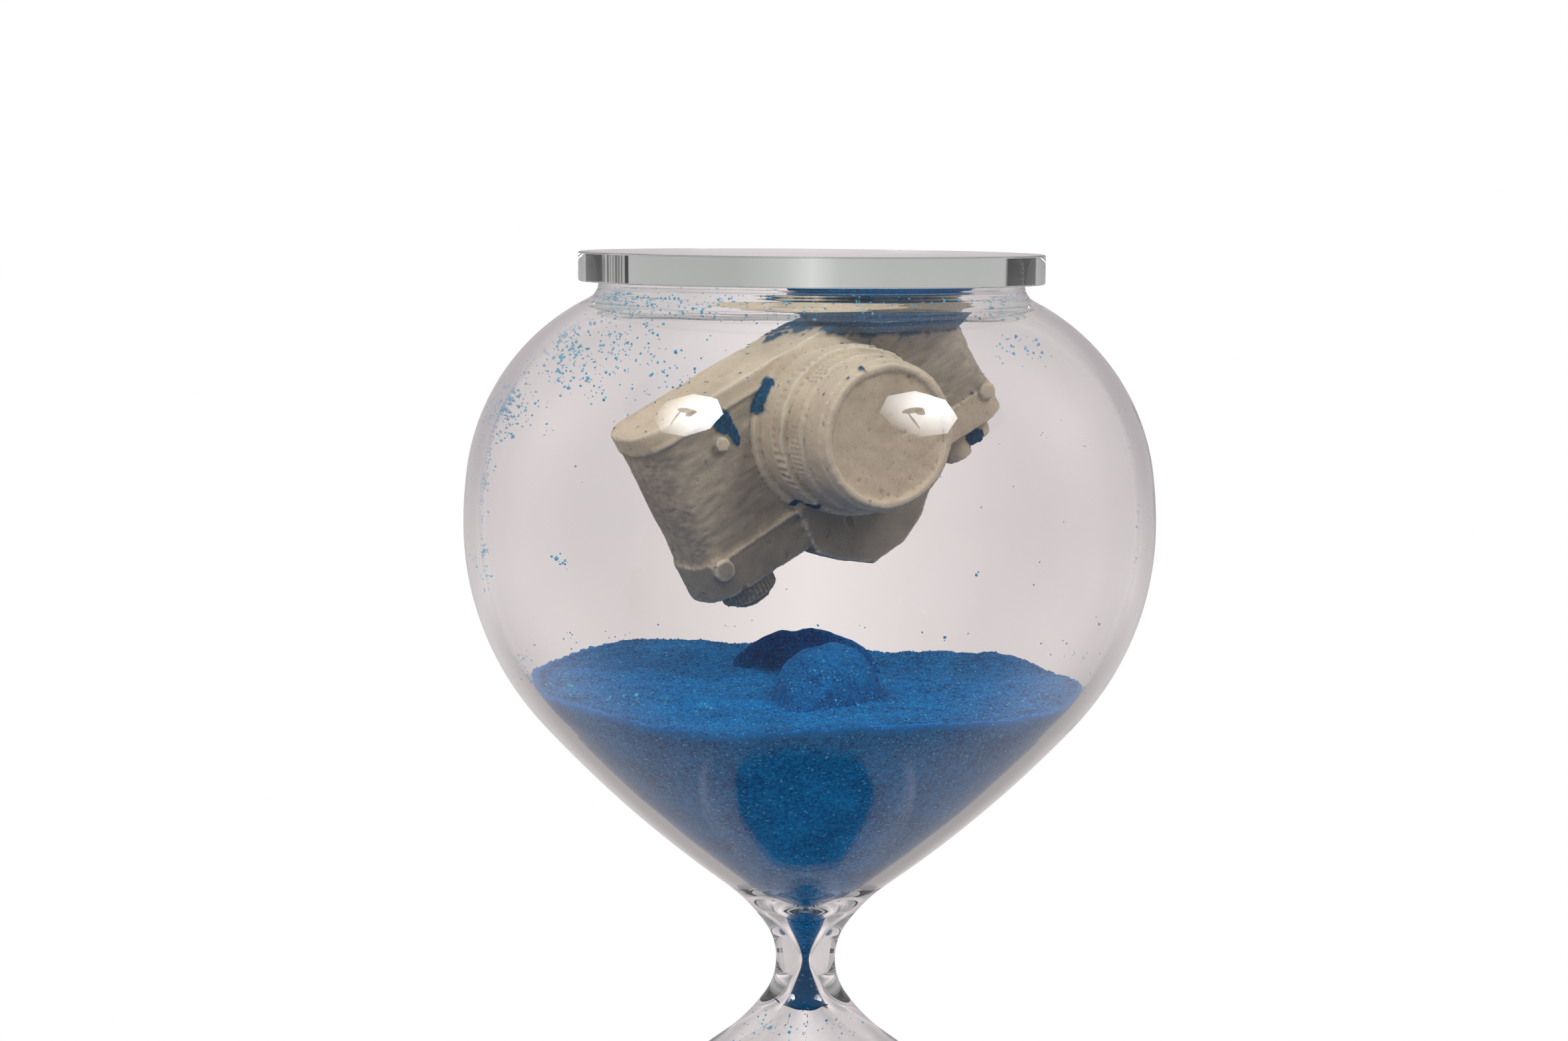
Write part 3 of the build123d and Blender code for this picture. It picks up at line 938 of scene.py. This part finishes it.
def emitter(name, azimuth, elevation, distance, across, strength):
    """An eight-sided softbox that faces the bulb, ribbed, brightest off its middle, and with the
    dark lamp head in front of it."""
    aim = Vector((0, 0, WAIST_Z * MM + 0.14))
    a, e = math.radians(azimuth), math.radians(elevation)
    back = Vector((math.sin(a) * math.cos(e), -math.cos(a) * math.cos(e), math.sin(e)))
    mesh = bpy.data.meshes.new(name)
    turns = [math.radians(22.5 + 45 * k) for k in range(8)]
    corners = [(across / 2 * math.cos(t), across / 2 * math.sin(t), 0) for t in turns]
    mesh.from_pydata(corners, [], [tuple(range(8))])
    obj = bpy.data.objects.new(name, mesh)
    obj.location = aim + back * distance
    obj.rotation_mode = "QUATERNION"
    obj.rotation_quaternion = back.to_track_quat("Z", "Y")
    material = new_material(name)
    tree = material.node_tree
    place = where(tree)
    centre = add(
        tree, "ShaderNodeVectorMath", {"operation": "DISTANCE"}, i0=place,
        i1=(0.26 * across, 0.1 * across, 0.0)
    )
    glow = reach(tree, centre.outputs["Value"], 0.0, across * 0.75, 1.7 * strength, 0.1 * strength)
    part = add(tree, "ShaderNodeSeparateXYZ", Vector=place).outputs
    turn = sums(tree, "ARCTAN2", part[1], part[0])
    rib = sums(tree, "ABSOLUTE", sums(tree, "SINE", sums(tree, "MULTIPLY", turn, 4.0)))
    glow = sums(tree, "MULTIPLY", glow, reach(tree, rib, 0.0, 0.07, 0.72, 1.0))
    for middle, size in HEAD_PARTS:
        away = add(
            tree, "ShaderNodeVectorMath", {"operation": "SUBTRACT"}, i0=place,
            i1=(middle[0] * across, middle[1] * across, 0.0)
        )
        away = add(
            tree, "ShaderNodeVectorMath", {"operation": "MULTIPLY"}, i0=away.outputs[0],
            i1=(1 / (size[0] * across), 1 / (size[1] * across), 0.0)
        )
        away = add(tree, "ShaderNodeVectorMath", {"operation": "LENGTH"}, i0=away.outputs[0])
        glow = sums(tree, "MULTIPLY", glow, reach(tree, away.outputs["Value"], 0.85, 1.0, 0.12, 1.0))
    light = add(tree, "ShaderNodeEmission", Color=(0.97, 0.985, 1.0, 1), Strength=glow)
    output(tree, light.outputs[0])
    mesh.materials.append(material)
    bpy.context.scene.collection.objects.link(obj)
    obj.visible_camera = False
    obj.visible_transmission = False


emitter("softbox_left", -50.5, 44, 1.6, 0.58, 18.0)
emitter("softbox_right", 46, 46.5, 1.6, 0.64, 14.5)


def floor():
    """A pale floor that fades out well before it reaches the camera's view."""
    outline = [(r, -WAIST_Z - 0.02) for r in np.linspace(640, 1, 40)]
    rings = turned(outline, 96)[::-1]
    count, around = rings.shape[:2]
    faces = []
    for k in range(count - 1):
        for i in range(around):
            j = (i + 1) % around
            faces.append((k * around + i, (k + 1) * around + i, (k + 1) * around + j, k * around + j))
    obj = add_mesh("floor", rings.reshape(-1, 3), faces)
    material = new_material("floor")
    tree = material.node_tree
    place = where(tree)
    far = add(tree, "ShaderNodeVectorMath", {"operation": "LENGTH"}, i0=place).outputs["Value"]
    matte = add(tree, "ShaderNodeBsdfDiffuse", Color=(0.86, 0.86, 0.855, 1))
    clear = add(tree, "ShaderNodeBsdfTransparent")
    fade = reach(tree, far, 0.22, 0.6)
    mixed = add(tree, "ShaderNodeMixShader", i0=fade, i1=matte.outputs[0], i2=clear.outputs[0])
    output(tree, mixed.outputs[0])
    obj.data.materials.append(material)
    obj.visible_glossy = False
    obj.visible_transmission = False


floor()


def band(tree, value, low, high, soft):
    """1 between low and high, falling to 0 over soft on each side."""
    rise = reach(tree, value, low - soft, low)
    fall = reach(tree, value, high, high + soft, 1.0, 0.0)
    return sums(tree, "MULTIPLY", rise, fall)


def world():
    """White to the eye. Through glass, a warm grey backdrop with dark flags on each side, at full
    strength only past one wall. In reflections, the backdrop without flags behind, a dim room in
    front, dimmer below and brighter at the sides. A soft sky for the diffuse light."""
    made = bpy.data.worlds.new("studio")
    made.use_nodes = True
    tree = made.node_tree
    tree.nodes.clear()
    path = add(tree, "ShaderNodeLightPath").outputs
    way = add(tree, "ShaderNodeTexCoord").outputs["Generated"]
    way = add(tree, "ShaderNodeSeparateXYZ", Vector=way).outputs
    across = sums(tree, "MULTIPLY", sums(tree, "ARCTAN2", way[0], way[1]), 180 / math.pi)
    paper = ramp(
        tree, reach(tree, across, -60, 60), (0.0, (0.64, 0.605, 0.61)), (0.40, (0.68, 0.64, 0.645)),
        (0.465, (0.75, 0.705, 0.71)), (0.5, (1.0, 0.945, 0.945)), (0.535, (0.77, 0.72, 0.725)),
        (0.6, (0.61, 0.575, 0.58)), (1.0, (0.68, 0.64, 0.645))
    )
    streaks = add(
        tree, "ShaderNodeTexNoise", {"noise_dimensions": "1D"}, W=across, Scale=0.9, Detail=3.0
    ).outputs["Fac"]
    streaks = reach(tree, streaks, 0.4, 0.6, 0.15, 0.8)
    streaked = sums(tree, "MULTIPLY", band(tree, across, 39, 51, 0.5), streaks)
    flags = sums(tree, "MAXIMUM", band(tree, across, 51, 66, 1.5), band(tree, across, -63, -43, 1.5))
    streaked = sums(tree, "MAXIMUM", band(tree, across, 37.6, 38.8, 0.3), streaked)
    flags = sums(tree, "MAXIMUM", flags, streaked)
    height = sums(tree, "MULTIPLY", band(tree, way[2], -0.5, 0.5, 0.06), 0.3)
    direct = reach(tree, path["Transmission Depth"], 2.4, 2.6, 1.0, 0.0)
    level = sums(tree, "MULTIPLY", band(tree, way[2], -0.06, 0.06, 0.03), direct)
    height = sums(tree, "MAXIMUM", height, level)
    flags = sums(tree, "MULTIPLY", flags, height)
    backdrop = blend(tree, flags, paper, (0.018, 0.022, 0.021))
    room = ramp(
        tree, reach(tree, way[2], -1, 1), (0.30, (0.30, 0.29, 0.29)), (0.47, (0.25, 0.245, 0.24)),
        (0.53, (0.16, 0.16, 0.17)), (1.0, (0.30, 0.30, 0.31))
    )
    behind = reach(tree, way[1], -0.1, 0.35)
    upper = blend(tree, 1.0, paper, (0.74, 0.73, 0.75), "MULTIPLY")
    low = band(tree, way[2], 0.0, 0.2, 0.2)
    around = blend(tree, behind, room, blend(tree, low, paper, upper))
    dimmed = blend(tree, 1.0, around, (0.6, 0.6, 0.6), "MULTIPLY")
    middle = reach(tree, sums(tree, "ABSOLUTE", way[0]), 0.5, 0.85, 1.0, 0.0)
    dim = sums(tree, "MULTIPLY", middle, reach(tree, way[2], -0.45, -0.2, 1.0, 0.0))
    around = blend(tree, dim, around, dimmed)
    glow = blend(tree, 1.0, around, (1.55, 1.52, 1.5), "MULTIPLY")
    around = blend(tree, reach(tree, sums(tree, "ABSOLUTE", way[0]), 0.5, 0.9), around, glow)
    bounced = sums(tree, "GREATER_THAN", path["Glossy Depth"], 0.5)
    seen = blend(tree, bounced, backdrop, around)
    glassy = add(tree, "ShaderNodeBackground", Color=seen, Strength=1.0)
    sky = ramp(tree, reach(tree, way[2], -1, 1), (0.3, (0.27, 0.265, 0.26)), (1.0, (0.62, 0.62, 0.62)))
    soft = add(tree, "ShaderNodeBackground", Color=sky, Strength=0.95)
    white = add(tree, "ShaderNodeBackground", Color=(1, 1, 1, 1), Strength=1.0)
    mixed = add(
        tree, "ShaderNodeMixShader", i0=path["Is Diffuse Ray"], i1=glassy.outputs[0], i2=soft.outputs[0]
    )
    mixed = add(
        tree, "ShaderNodeMixShader", i0=path["Is Camera Ray"], i1=mixed.outputs[0], i2=white.outputs[0]
    )
    add(tree, "ShaderNodeOutputWorld", Surface=mixed.outputs[0])
    bpy.context.scene.world = made


world()

camera_data = bpy.data.cameras.new("camera")
camera_data.lens = 83.1
camera_data.sensor_width = 36.0
camera = bpy.data.objects.new("camera", camera_data)
bpy.context.scene.collection.objects.link(camera)
PITCH, YAW, ROLL = math.radians(5.27), math.radians(0.405), 0.0085
turn = Matrix.Rotation(YAW, 4, "Z") @ Matrix.Rotation(math.pi / 2 - PITCH, 4, "X")
turn = turn @ Matrix.Rotation(ROLL, 4, "Z")
camera.matrix_world = Matrix.Translation((0, -1.2126, WAIST_Z * MM + 0.26111)) @ turn
bpy.context.scene.camera = camera

scene = bpy.context.scene
scene.view_settings.view_transform = "Standard"
scene.cycles.max_bounces = 24
scene.cycles.transmission_bounces = 20
scene.cycles.glossy_bounces = 20
scene.cycles.transparent_max_bounces = 32
